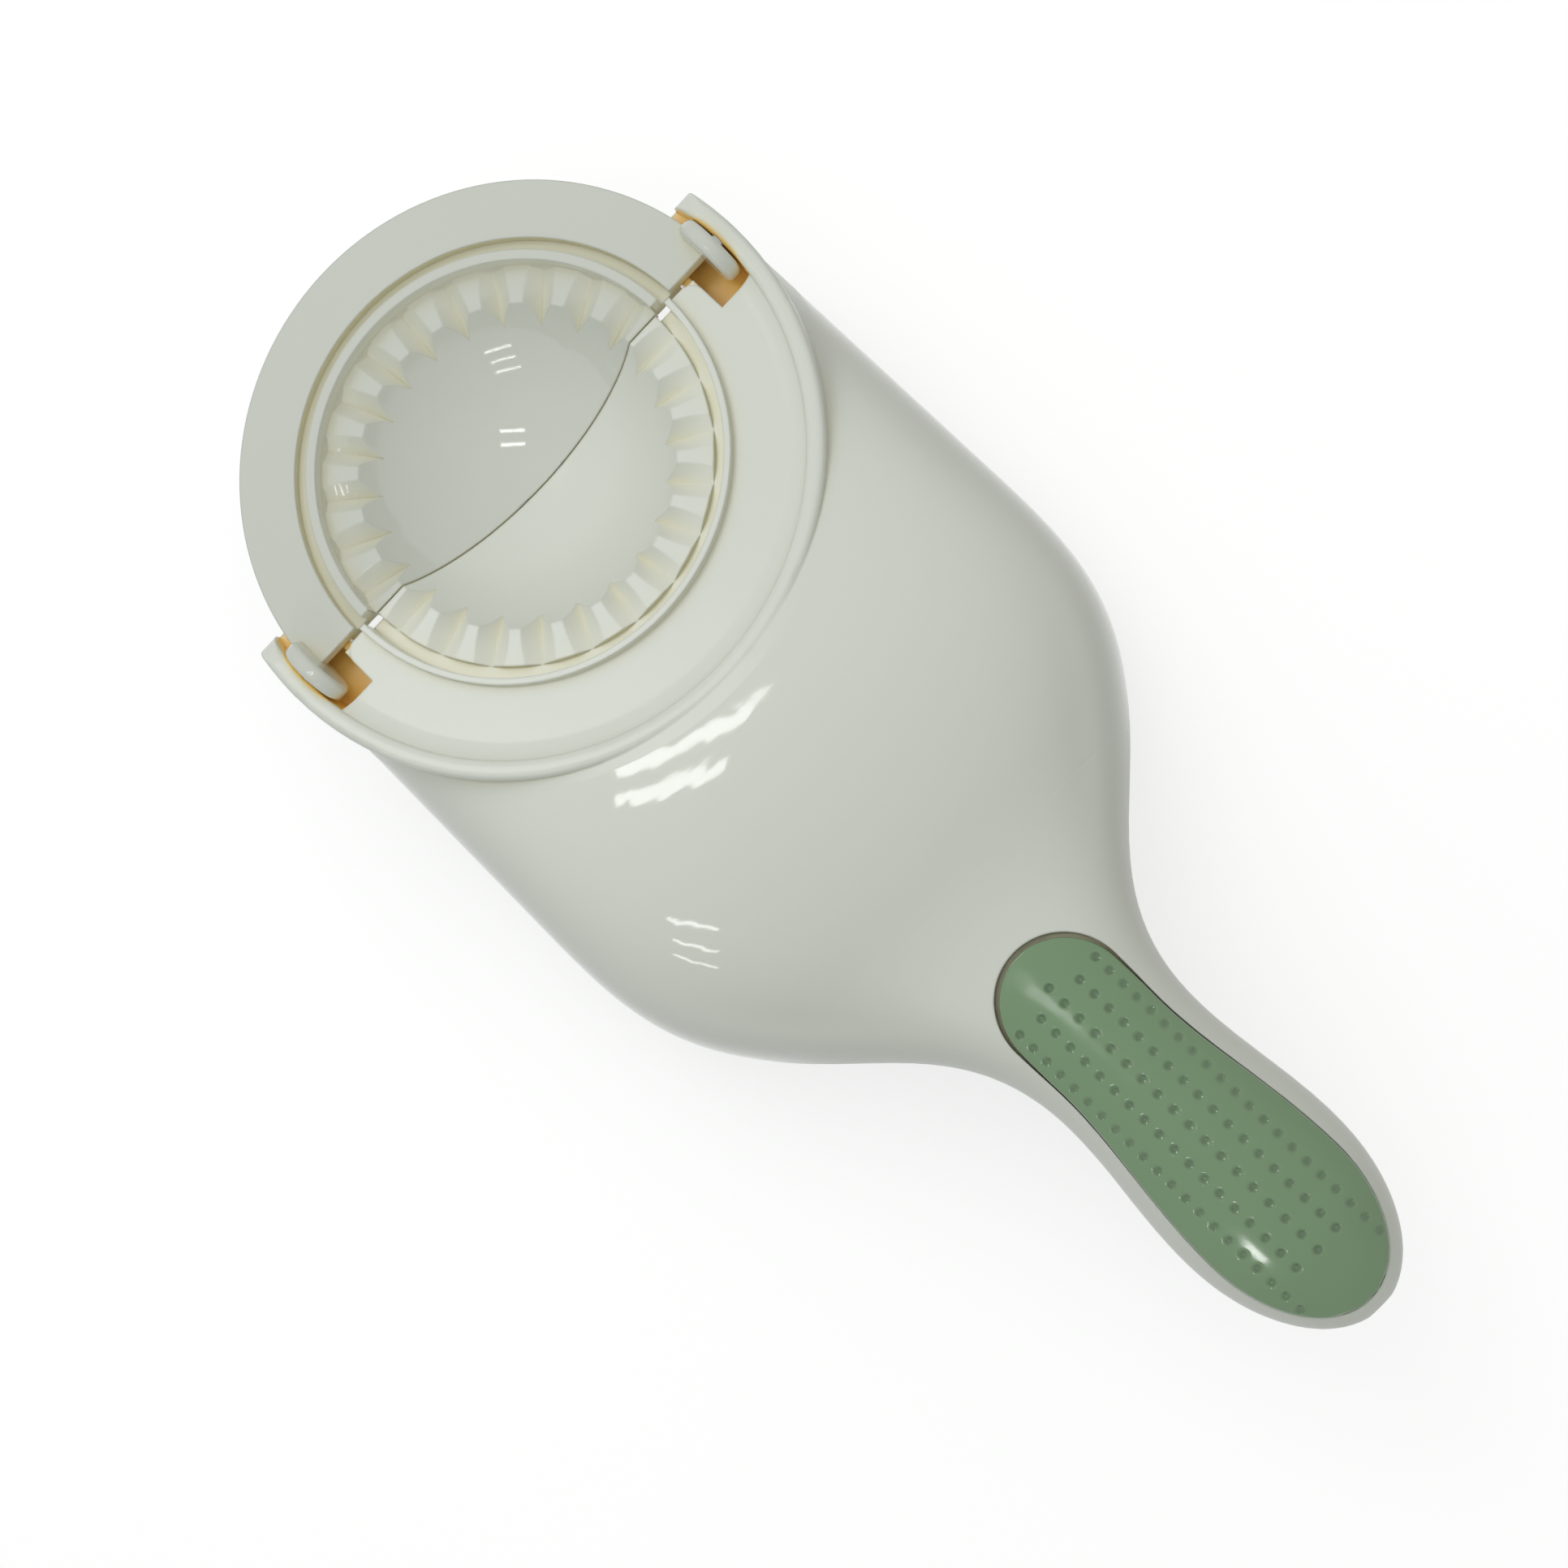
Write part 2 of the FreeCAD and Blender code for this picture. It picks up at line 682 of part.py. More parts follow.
def build_rear_mould():
    """The rear half of the mould: bowl, crimp band, seal channel and ridge, and the coved flange."""
    body = new_body("RearMould")
    cove = (size("cove_width") * size("cove_width") + RIM_FOOT * RIM_FOOT) / (RIM_FOOT * 2)
    overlap = size("collar_wall") / 2
    shelf = ZERO - size("channel_depth") - size("mould_wall")
    skirt = RIDGE_OUTSIDE + size("mould_wall")
    corners = [
        (ZERO, ZERO - size("bowl_depth")),
        (size("bowl_radius"), ZERO - size("band_drop")),
        (size("band_radius"), ZERO - size("band_drop")),
        (size("band_radius"), ZERO - size("channel_depth")),
        (RIDGE, ZERO - size("channel_depth")),
        (RIDGE, size("ridge_rise")),
        (RIDGE_OUTSIDE, size("ridge_rise")),
        (RIDGE_OUTSIDE, ZERO),
        (COLLAR - size("cove_width"), ZERO),
        (COLLAR, RIM_FOOT),
        (COLLAR + overlap, RIM_FOOT),
        (COLLAR + overlap, ZERO - size("flange_thick")),
        (skirt, ZERO - size("flange_thick")),
        (skirt, shelf),
        (size("band_radius"), shelf),
        (ROOT_RADIUS, ZERO - ROOT_DROP),
        (ZERO, ZERO - size("bowl_depth") - size("mould_wall")),
    ]
    arcs = {0: (BALL, 1), 8: (cove, 1), 15: (BALL_OUTSIDE, -1)}
    sketch = outline(body, "XZ_Plane", "RearProfile", corners, arcs)
    turned(body, "Revolution", "RearTurned", sketch, 180)
    drop = size("bowl_depth") + size("mould_wall")
    trim_parting(body, "Rear", size("band_radius"), size("rear_setback"), 1, COLLAR_OUTSIDE, drop)
    for name, sketch in notch_sketches(body):
        pocketed(body, name + "Cut", sketch, size("channel_depth") * 2)
    outer = size("band_radius") + size("valley_clear")
    crimp_valleys(body, PITCH / 2 - Measure(90.0, "90"), outer)
    return body


def build_collar():
    """The raised ring round the mould, cut to two round-nosed prongs that are bored for the pins, and
    the two cups that reach in from the prongs, under the notches."""
    body = new_body("Collar")
    far = COLLAR_OUTSIDE + size("overrun")
    build_cup_ring(body, far)
    rounding = size("collar_round")
    profile = [
        (COLLAR, ZERO - size("collar_drop")),
        (COLLAR_OUTSIDE, ZERO - size("collar_drop")),
        (COLLAR_OUTSIDE, RIM_FOOT),
        (COLLAR_OUTSIDE - rounding, size("collar_rise")),
        (COLLAR + rounding, size("collar_rise")),
        (COLLAR, RIM_FOOT),
    ]
    sketch = outline(body, "XZ_Plane", "CollarProfile", profile, {2: (rounding, 1), 4: (rounding, 1)})
    turned(body, "Revolution", "CollarTurned", sketch, 360)
    nose = ZERO - size("prong_reach")
    back = nose + size("prong_round")
    drop = ZERO - size("prong_drop")
    below = ZERO - size("collar_drop") - size("overrun")
    side_view = [
        (ZERO - far, below),
        (size("rear_setback"), below),
        (size("rear_setback"), drop),
        (back, drop),
        (nose, drop + size("prong_round")),
        (nose, size("collar_rise") - size("prong_round")),
        (back, size("collar_rise")),
        (back, size("collar_rise") + size("overrun")),
        (ZERO - far, size("collar_rise") + size("overrun")),
    ]
    arcs = {3: (size("prong_round"), -1), 5: (size("prong_round"), -1)}
    sketch = outline(body, "XZ_Plane", "ProngView", side_view, arcs)
    pocketed(body, "ProngCut", sketch, far * 2)
    front = ZERO - size("ear_radius") - size("cup_way")
    reach = size("notch_reach")
    inside = COLLAR - size("notch_side")
    for name, flip in (("CupLeft", 1), ("CupRight", -1)):
        corners = [
            (front, inside * flip),
            (reach, inside * flip),
            (reach, leg(COLLAR, reach) * flip),
            (front, leg(COLLAR, front) * flip),
        ]
        sketch = outline(body, "XY_Plane", name, corners, {2: (COLLAR, flip)})
        pocketed(body, name + "Cut", sketch, CUP_FLOOR * 2)
    sketch = circle_sketch(body, "XZ_Plane", "PinBore", ZERO, size("hinge_rise"), size("pin_radius"))
    pocketed(body, "PinBoreCut", sketch, far * 2)
    doc.recompute()
    return body


def build_cup_ring(body, far):
    """The ring that the cups are cut from: low enough in front for the flap's flange to lie over it,
    and behind the hinge line joined to the rear flange."""
    inside = RIDGE_OUTSIDE + size("groove_gap") + size("mould_wall") + size("flange_way")
    top = ZERO - size("flange_thick") / 4
    corners = [
        (inside, ZERO - size("prong_drop")),
        (COLLAR + size("collar_wall") / 2, ZERO - size("prong_drop")),
        (COLLAR + size("collar_wall") / 2, top),
        (inside, top),
    ]
    sketch = outline(body, "XZ_Plane", "CupRing", corners)
    turned(body, "Revolution", "CupRingTurned", sketch, 360)
    lowered = ZERO - size("flange_thick") - size("flange_way")
    step = [
        (ZERO - far, lowered),
        (size("rear_setback"), lowered),
        (size("rear_setback"), size("overrun")),
        (ZERO - far, size("overrun")),
    ]
    pocketed(body, "CupStep", outline(body, "XZ_Plane", "CupStepView", step), far * 2)
    start = size("notch_reach") + size("cup_wall")
    behind = [
        (start, ZERO - far),
        (far, ZERO - far),
        (far, size("overrun")),
        (start, size("overrun")),
    ]
    pocketed(body, "CupEnd", outline(body, "XZ_Plane", "CupEndView", behind), far * 2)


def notch_sketches(body):
    """The two notches in which the flap's ears turn. They end inside the collar's own wall."""
    inside = COLLAR - size("notch_side")
    outside = COLLAR + size("collar_wall") / 2
    edge = size("rear_setback")
    rounding = size("notch_round")
    before = ZERO - size("overrun")
    sketches = []
    for name, flip in (("NotchLeft", 1), ("NotchRight", -1)):
        corners = [
            (before, inside - rounding),
            (edge, inside - rounding),
            (edge + rounding, inside),
            (size("notch_reach"), inside),
            (size("notch_reach"), leg(outside, size("notch_reach"))),
            (before, leg(outside, before)),
        ]
        arcs = {1: (rounding, -1), 4: (outside, 1)}
        if flip < 0:
            corners = [(across, ZERO - up) for across, up in corners]
            arcs = {1: (rounding, 1), 4: (outside, -1)}
        sketches.append((name, outline(body, "XY_Plane", body.Name + name, corners, arcs)))
    return sketches


def build_mould_room():
    """What the hull gives up to the mould: all above the middle of the mould's wall, and the notches."""
    body = new_body("MouldRoom")
    middle = size("mould_wall") / 2
    ball = BALL + middle
    root = VALLEY_DROP + middle / 2
    shelf = ZERO - size("channel_depth") - middle
    skirt = RIDGE_OUTSIDE + middle
    inside = COLLAR + size("collar_wall") / 4
    crest = COLLAR + size("collar_wall") / 2
    sky = size("handle_top") + size("overrun")
    corners = [
        (ZERO, ZERO - size("bowl_depth") - middle),
        (leg(ball, BALL_RISE + root), ZERO - root),
        (size("band_radius"), shelf),
        (skirt, shelf),
        (skirt, ZERO - size("flange_thick") / 2),
        (inside, ZERO - size("flange_thick") / 2),
        (inside, RIM_FOOT),
        (crest, size("collar_rise")),
        (crest, sky),
        (ZERO, sky),
    ]
    sketch = outline(body, "XZ_Plane", "RoomProfile", corners, {0: (ball, 1)})
    turned(body, "Revolution", "RoomTurned", sketch, 360)
    for name, sketch in notch_sketches(body):
        pad = body.newObject("PartDesign::Pad", name + "Pad")
        pad.Profile = sketch
        pad.Midplane = True
        pad.setExpression("Length", (CUP_FLOOR * 2 + size("cup_wall")).formula)
    doc.recompute()
    return body


def build_screws():
    """One self-tapping screw, turned, then copied to each place."""
    body = new_body("CoverScrew")
    shank = size("screw_radius")
    point = size("screw_length") - shank
    corners = [
        (ZERO, ZERO - size("head_height")),
        (size("head_radius"), ZERO - size("head_height")),
        (size("head_radius"), ZERO),
        (shank, ZERO),
        (shank, point),
        (ZERO, size("screw_length")),
    ]
    sketch = outline(body, "XZ_Plane", "ScrewProfile", corners)
    turned(body, "Revolution", "ScrewTurned", sketch, 360)
    doc.recompute()
    copies = []
    for place in screw_places():
        copy = body.Shape.copy()
        copy.translate(place - Vector(0, 0, plain(size("screw_depth"))))
        copies.append(copy)
    return shape_object("cover_screws", Part.makeCompound(copies))


def place_on_ground(item):
    """Moves a finished piece so that the press stands on Z = 0 about the middle of its length."""
    item.setExpression(
        "Placement.Base.x",
        "(Sizes.flap_radius - Sizes.bulb_place - Sizes.tail_length) / 2")
    item.setExpression("Placement.Base.z", "Sizes.base_drop")


WALL = plain(size("shell_wall"))
FRONT = plain(size("rear_setback"))
GRIP_THICK = plain(size("grip_thick"))

front_mould = build_front_mould()
hinge_pin_left = build_hinge_pin("hinge_pin_left", 1)
hinge_pin_right = build_hinge_pin("hinge_pin_right", -1)

outer_hull = shape_object("OuterHull", hull_shape(0.0, FRONT))
inner_hull = shape_object("InnerHull", hull_shape(WALL, FRONT + plain(size("front_wall"))))
middle_hull = shape_object("MiddleHull", hull_shape(WALL / 2, FRONT + plain(size("front_wall")) / 2))
grip_bed = shape_object("GripBed", hull_shape(GRIP_THICK + plain(size("grip_bond")), FRONT))
grip_core = shape_object("GripCore", hull_shape(GRIP_THICK, FRONT))
grip_underside = shape_object("GripUnderside", hull_shape(GRIP_THICK + plain(size("grip_seat")), FRONT))
grip_skin = shape_object("GripSkin", hull_shape(-plain(size("grip_proud")), FRONT))
above_split = shape_object("AboveSplit", split_zone())
mould_room = build_mould_room()
shell = cut("Shell", outer_hull, inner_hull)

grip_block = common("GripBlock", shape_object("GripPrism", grip_prism(0.0)), grip_skin)
grip_inlay = cut("grip_inlay", grip_block, grip_core)
recess_prism = shape_object("RecessPrism", grip_prism(plain(size("grip_gap"))))
recess = cut("GripRecess", recess_prism, grip_bed)
seat_prism = shape_object("SeatPrism", grip_prism(plain(size("grip_gap") + size("grip_seat"))))
seat = cut("GripSeat", common("SeatBlock", seat_prism, grip_bed), grip_underside)

boss_posts = shape_object("BossPosts", posts(plain(size("screw_radius") + size("boss_wall"))))
bosses = common("UpperBosses", common("Bosses", boss_posts, middle_hull), above_split)
bored_bosses = cut("BoredBosses", bosses, shape_object("PilotHoles", pilot_holes()))
upper_walls = cut("UpperWalls", cut("OpenShell", common("UpperShell", shell, above_split), mould_room), recess)
trimmed_bosses = cut("LoweredBosses", cut("TrimmedBosses", bored_bosses, mould_room), recess)
body_shell = fused("body_shell", [
    upper_walls,
    trimmed_bosses,
    seat,
    build_rear_mould(),
    build_collar(),
])

cover_posts = shape_object("CoverPosts", posts(plain(HEAD_WAY + size("boss_wall"))))
lower_posts = cut("LowerPosts", common("Posts", cover_posts, middle_hull), above_split)
lower_walls = fused("LowerWalls", [cut("LowerShell", shell, above_split), lower_posts])
base_cover = cut("base_cover", lower_walls, shape_object("ScrewWays", screw_ways()))
cover_screws = build_screws()

PIECES = [body_shell, base_cover, front_mould, hinge_pin_left, hinge_pin_right, grip_inlay, cover_screws]
for piece in PIECES:
    place_on_ground(piece)
doc.recompute()

for item in doc.Objects:
    if "Invalid" in item.State or "Error" in item.State:
        raise RuntimeError("%s did not build" % item.Name)
for piece in PIECES:
    if piece.Shape.isNull() or not piece.Shape.isValid():
        raise RuntimeError("%s has no valid shape" % piece.Label)

os.makedirs("parts", exist_ok=True)
for piece in PIECES:
    piece.Shape.exportStep("parts/%s.step" % piece.Label)
    box = piece.Shape.BoundBox
    print(piece.Label, len(piece.Shape.Solids), round(piece.Shape.Volume), box)
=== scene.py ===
import math

import bpy
import numpy as np
from mathutils import Matrix, Vector
from mathutils.bvhtree import BVHTree


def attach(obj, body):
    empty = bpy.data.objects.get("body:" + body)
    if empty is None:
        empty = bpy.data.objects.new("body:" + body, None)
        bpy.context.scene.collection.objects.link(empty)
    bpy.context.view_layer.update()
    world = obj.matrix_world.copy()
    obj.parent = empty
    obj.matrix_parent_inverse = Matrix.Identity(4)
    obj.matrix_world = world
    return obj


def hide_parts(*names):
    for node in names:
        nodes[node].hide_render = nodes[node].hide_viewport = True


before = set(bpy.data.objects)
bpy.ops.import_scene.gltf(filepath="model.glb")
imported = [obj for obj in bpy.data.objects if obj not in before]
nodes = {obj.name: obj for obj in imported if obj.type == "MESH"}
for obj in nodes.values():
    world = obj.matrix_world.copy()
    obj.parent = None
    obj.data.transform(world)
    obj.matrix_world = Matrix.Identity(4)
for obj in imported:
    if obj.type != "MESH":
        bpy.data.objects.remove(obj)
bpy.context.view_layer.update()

MM = 0.001
scene = bpy.context.scene

# Plastics and metal, as linear colours. In the white plastic's recesses, olive is painted shade and cream
# is painted bounce light, and amber is painted light that comes through the hinges' thin cups.
IVORY = (0.64, 0.655, 0.595)
BOUNCE_CREAM = (0.76, 0.74, 0.59)
SHADE_OLIVE = (0.70, 0.66, 0.46)
GLOW_AMBER = (1.0, 0.68, 0.20)
SAGE = (0.176, 0.284, 0.152)
# Darker greens, which are painted shade in the grip's dimples.
SHADE_MIDDLE_SAGE = [0.75 * part for part in SAGE]
SHADE_DARK_SAGE = (0.075, 0.13, 0.065)
STEEL = (0.45, 0.44, 0.42)

# How far a recess is felt, and the openness at which each colour of its painted shade and bounce light is
# laid on the plastic.
RECESS_REACH = 9 * MM
RECESS_SHADE_STOPS = ((0.05, SHADE_OLIVE), (0.40, BOUNCE_CREAM), (0.88, IVORY))

# The hinges' cups are thin and let light through, which is painted on as an amber glow. From this far to
# either side, the hull has that painted glow in place of the recesses' painted shade.
HINGE_SIDE = 41 * MM
HINGE_GLOW_STOPS = ((0.28, GLOW_AMBER), (0.50, BOUNCE_CREAM), (0.88, IVORY))

# Reach and colours of the painted shade in the grip's dimples, a darker green the more closed in a spot
# is.
DIMPLE_REACH = 1.5 * MM
DIMPLE_SHADE_STOPS = ((0.42, SHADE_DARK_SAGE), (0.72, SHADE_MIDDLE_SAGE), (0.94, SAGE))

# Roughness of each surface. The mould's rear half is duller than the hull, and the hull gets duller
# towards the handle, between the two places along X in NECK.
HULL_ROUGHNESS = 0.05
MOULD_ROUGHNESS = 0.26
NECK_ROUGHNESS = 0.36
NECK = (20 * MM, 38 * MM)
GRIP_ROUGHNESS = 0.14
STEEL_ROUGHNESS = 0.3
FLOOR_ROUGHNESS = 0.9

# Faint changes of shade: how many go to a metre, and how strong they are.
WHITE_MOTTLE = (25.0, 0.015)
GREEN_MOTTLE = (60.0, 0.04)
STEEL_MOTTLE = (400.0, 0.06)
MOTTLE_DETAIL = 2.0

# Slight waves of a surface: how many go to a metre, and how deep they are.
WHITE_WAVES = (210.0, 0.02 * MM)
GREEN_WAVES = (150.0, 0.12 * MM)
WAVE_DETAIL = 1.0

# The radius that eases the edges of the white pieces, and the rays sent out for that and for openness.
EDGE_EASE = 0.6 * MM
EDGE_SAMPLES = 6
OPENNESS_SAMPLES = 12

# Ripples of the hull: how they are turned from the X axis, how many go to a metre across and along
# them, and how deep they are.
RIPPLE_TURN = math.radians(-26.6)
RIPPLES = (330.0, 120.0, 120.0)
RIPPLE_DEPTH = 0.022 * MM
RIPPLE_DETAIL = 1.5

# Half the width of the strip along the hull's crown in which its shading is evened out, and where it
# starts behind the mould.
CROWN_HALF_WIDTH = 14 * MM
CROWN_START = -26 * MM

# The middle of the mould along X, and the radius of its collar.
MOULD_X = -74.45 * MM
COLLAR_RADIUS = 56.6 * MM

# The hull's top is a little rounder along its length than the mesh. Outside the collar, its shading
# leans as that of a dome with this radius and this top along X, between two slopes. The lean fades out
# between two places along X, and grows with how far the surface faces upward, from none to all of it.
DOME_RADIUS = 110 * MM
DOME_TOP = -14 * MM
DOME_LEAN = (-0.10, 0.36)
DOME_END = (26 * MM, 54 * MM)
DOME_UPWARD = (0.70, 0.93)

# The grip's rows of dimples: each row's distance from the middle, its first dimple's distance from the
# grip's front end, the pitch along the row and the number of dimples.
DIMPLE_ROWS_MM = (
    (0.0, 7.65, 3.37, 18),
    (4.35, 10.15, 3.20, 18),
    (-4.35, 10.15, 3.20, 18),
    (8.65, 9.4, 3.01, 21),
    (-8.65, 9.4, 3.01, 21),
)
DIMPLE_RADIUS = 0.85 * MM
DIMPLE_DEPTH = 0.6 * MM

# The grip's grid of points, its length as a share of the outline's, and how far out it reads heights.
GRIP_STEPS = 360
GRIP_COLUMNS = 124
GRIP_LENGTH_SHARE = 0.9999
GRIP_READING_SHARE = 0.998

# How high above the grip its heights are read from, how often they are smoothed, how round its edge is
# and how thick its skin.
READING_HEIGHT = 10 * MM
SMOOTHING_PASSES = 60
GRIP_EDGE_ROUND = 0.35 * MM
GRIP_SKIN = 1.5 * MM

# A face counts as an upright wall up to this slope of its normal.
WALL_SLOPE = 0.2

# The gap round the grip: the nose is drawn in, more so at its tip, and the rest is widened, fully from
# the seat's length on, so that the gap nearly closes there.
NOSE_GAP = 0.55 * MM
NOSE_LENGTH = 18 * MM
NOSE_RADIUS = 10.9 * MM
SEAT_GAP = 0.27 * MM
SEAT_LENGTH = 40 * MM

# The photograph's camera, as fitted to the mould's circles.
PHOTO_TURN = math.radians(44.52)
PHOTO_TILT = [math.radians(angle) for angle in (-5.61, 11.05, -0.98)]
PHOTO_EYE = Vector((80.51, 19.82, 430.3)) * MM
PHOTO_LENS = 55.9
PHOTO_SENSOR = 36.0
PHOTO_CLIP = (0.01, 20.0)

# The soft light's brightness at the horizon and straight above, and its colour on either side.
HORIZON_LIGHT = 0.32
ZENITH_LIGHT = 0.74
COOL_SIDE = (0.93, 1.0, 0.99)
WARM_SIDE = (1.0, 0.99, 0.94)

# The backdrop's colour, the floor's size, its place under the press, its grey and the light that it
# gives off to look like the backdrop.
BACKDROP = (1.0, 1.0, 1.0, 1.0)
FLOOR_SIZE = 6.0
FLOOR_DROP = 0.5 * MM
FLOOR_GREY = (0.5, 0.5, 0.5)
FLOOR_LIFT = 0.655

# Where the lamps point, and how far away the tubes are.
LAMP_TARGET = Vector((-20.0, 0.0, 30.0)) * MM
TUBE_DISTANCE = 1.6

# Square lamps that glossy pieces don't mirror: name, direction, side, brightness, distance and the
# group of pieces that they light.
SOFT_LAMPS = (
    ("Near", (-0.6, 0.15, 0.78), 0.3, 1.0, 0.4, None),
    ("Mould", (-0.34, -0.1, 0.94), 0.1, 1.25, 0.17, "body"),
)

# Rows of tubes, which show as bright bars: name, direction, long way, count, length, width, distance
# apart, brightness and the group of pieces that they light.
TUBES = (
    ("Body pair", (-0.285, -0.185, 0.94), (0.70, 0.71, 0.0), 2, 0.47, 0.065, 0.145, 8.5, "body"),
    ("Body trio", (0.24, -0.57, 0.785), (0.846, 0.501, 0.18), 3, 0.30, 0.032, 0.22, 10.0, "body"),
    ("Flap pair", (0.17, -0.185, 0.968), (0.7, 0.7, 0.0), 2, 0.42, 0.042, 0.22, 15.0, "flap"),
    ("Flap trio", (0.588, -0.659, 0.47), (0.7, 0.7, 0.2), 3, 0.42, 0.028, 0.2, 15.0, "flap"),
    ("Grip pair", (-0.06, -0.15, 0.985), (0.0, 1.0, 0.0), 2, 0.15, 0.008, 0.05, 40.0, "grip"),
    ("Grip rims", (-0.9, -0.07, 0.42), (0.0, 1.0, 0.0), 1, 0.5, 0.25, 0.0, 9.0, "grip"),
    ("Grip trio", (0.326, -0.557, 0.764), (1.0, 0.0, 0.0), 3, 0.2, 0.03, 0.06, 40.0, "grip"),
)


# Steps that the materials share

def new_material(name, colour, roughness):
    """A plain material, with its tree and its shader, for the other steps to add to."""
    material = bpy.data.materials.new(name)
    material.use_nodes = True
    tree = material.node_tree
    shader = tree.nodes["Principled BSDF"]
    shader.inputs["Base Color"].default_value = (*colour, 1.0)
    shader.inputs["Roughness"].default_value = roughness
    return material, tree, shader


def add_math(tree, operation, first, second=0.0):
    """One step of arithmetic on two numbers, each of them given as a number or as a socket."""
    node = tree.nodes.new("ShaderNodeMath")
    node.operation = operation
    for socket, value in zip(node.inputs, (first, second)):
        if isinstance(value, float):
            socket.default_value = value
        else:
            tree.links.new(value, socket)
    return node.outputs["Value"]


def add_vector_math(tree, operation, first, second=None):
    """One step of arithmetic on the vectors of one or two sockets."""
    node = tree.nodes.new("ShaderNodeVectorMath")
    node.operation = operation
    tree.links.new(first, node.inputs[0])
    if second:
        tree.links.new(second, node.inputs[1])
    return node.outputs["Vector"]


def add_range(tree, value, source=(0.0, 1.0), target=(0.0, 1.0), smooth=False):
    """Maps a number from one range to another, and holds it at the ends."""
    node = tree.nodes.new("ShaderNodeMapRange")
    if smooth:
        node.interpolation_type = "SMOOTHSTEP"
    for name, number in zip(("From Min", "From Max", "To Min", "To Max"), (*source, *target)):
        node.inputs[name].default_value = number
    tree.links.new(value, node.inputs["Value"])
    return node.outputs["Result"]


def add_mix(tree, share, first, second):
    """A colour between two, each of them given as a colour or as a socket."""
    mix = tree.nodes.new("ShaderNodeMix")
    mix.data_type = "RGBA"
    tree.links.new(share, mix.inputs["Factor"])
    for name, colour in (("A", first), ("B", second)):
        if isinstance(colour, tuple):
            mix.inputs[name].default_value = (*colour, 1.0)
        else:
            tree.links.new(colour, mix.inputs[name])
    return mix.outputs["Result"]


def add_noise(tree, scale, detail):
    """Noise that stays with the piece, from 0 to 1."""
    place = tree.nodes.new("ShaderNodeTexCoord")
    noise = tree.nodes.new("ShaderNodeTexNoise")
    noise.inputs["Scale"].default_value = scale
    noise.inputs["Detail"].default_value = detail
    tree.links.new(place.outputs["Object"], noise.inputs["Vector"])
    return noise.outputs["Fac"]


def add_bump(tree, normal, height, depth):
    """A relief of the given depth, laid over a normal, or over the mesh's own."""
    bump = tree.nodes.new("ShaderNodeBump")
    bump.inputs["Distance"].default_value = depth
    tree.links.new(height, bump.inputs["Height"])
    if normal:
        tree.links.new(normal, bump.inputs["Normal"])
    return bump.outputs["Normal"]


def add_waves(tree, normal, waves):
    """Slight waves of a moulded surface."""
    scale, depth = waves
    return add_bump(tree, normal, add_noise(tree, scale, WAVE_DETAIL), depth)


def add_eased_edges(tree, normal):
    """Rounds off the shading of sharp edges, over a normal or over the mesh's own."""
    eased = tree.nodes.new("ShaderNodeBevel")
    eased.samples = EDGE_SAMPLES
    eased.inputs["Radius"].default_value = EDGE_EASE
    if normal:
        tree.links.new(normal, eased.inputs["Normal"])
    return eased.outputs["Normal"]


def add_openness(tree, reach):
    """1 where a spot lies open, and less the more there is around it within reach."""
    openness = tree.nodes.new("ShaderNodeAmbientOcclusion")
    openness.samples = OPENNESS_SAMPLES
    openness.inputs["Distance"].default_value = reach
    return openness.outputs["AO"]


def add_painted_light_and_shade(tree, openness, stops):
    """Painted shade or light for a spot's openness, from three stops."""
    ramp = tree.nodes.new("ShaderNodeValToRGB")
    marks = ramp.color_ramp.elements
    marks.new(stops[1][0])
    for mark, (place, colour) in zip(marks, stops):
        mark.position = place
        mark.color = (*colour, 1.0)
    tree.links.new(openness, ramp.inputs["Fac"])
    return ramp.outputs["Color"]


def add_mottled(tree, shader, shades, mottle):
    """Gives the shader a colour, or the shades of a socket, that vary faintly from spot to spot."""
    scale, spread = mottle
    noise = add_noise(tree, scale, MOTTLE_DETAIL)
    level = add_range(tree, noise, target=(1 - spread, 1 + spread))
    mottled = tree.nodes.new("ShaderNodeVectorMath")
    mottled.operation = "SCALE"
    if isinstance(shades, tuple):
        mottled.inputs[0].default_value = shades
    else:
        tree.links.new(shades, mottled.inputs[0])
    tree.links.new(level, mottled.inputs["Scale"])
    tree.links.new(mottled.outputs["Vector"], shader.inputs["Base Color"])


def add_place(tree):
    """How far a spot lies from the middle of the press, and its place along it."""
    place = tree.nodes.new("ShaderNodeTexCoord")
    split = tree.nodes.new("ShaderNodeSeparateXYZ")
    tree.links.new(place.outputs["Object"], split.inputs["Vector"])
    return add_math(tree, "ABSOLUTE", split.outputs["Y"]), split.outputs["X"]


# What only the hull's plastic has

def add_painted_hinge_glow(tree, openness, shades):
    """The painted glow of light through the hinges' thin cups, where a spot lies far enough to either
    side.
    """
    side, _ = add_place(tree)
    hinge = add_math(tree, "GREATER_THAN", side, HINGE_SIDE)
    return add_mix(tree, hinge, shades, add_painted_light_and_shade(tree, openness, HINGE_GLOW_STOPS))


def add_outside(tree):
    """1 outside the mould's collar, and 0 inside it."""
    side, along = add_place(tree)
    from_mould = add_math(tree, "SUBTRACT", along, MOULD_X)
    square = add_math(tree, "ADD", add_math(tree, "POWER", from_mould, 2.0),
                      add_math(tree, "POWER", side, 2.0))
    return add_math(tree, "GREATER_THAN", square, COLLAR_RADIUS ** 2)


def add_hull_roughness(tree, shader):
    """Makes the hull duller inside the collar and towards the handle."""
    _, along = add_place(tree)
    hull = add_range(tree, add_outside(tree), target=(MOULD_ROUGHNESS, HULL_ROUGHNESS))
    neck = add_range(tree, along, NECK, (0.0, NECK_ROUGHNESS - HULL_ROUGHNESS), smooth=True)
    tree.links.new(add_math(tree, "ADD", hull, neck), shader.inputs["Roughness"])


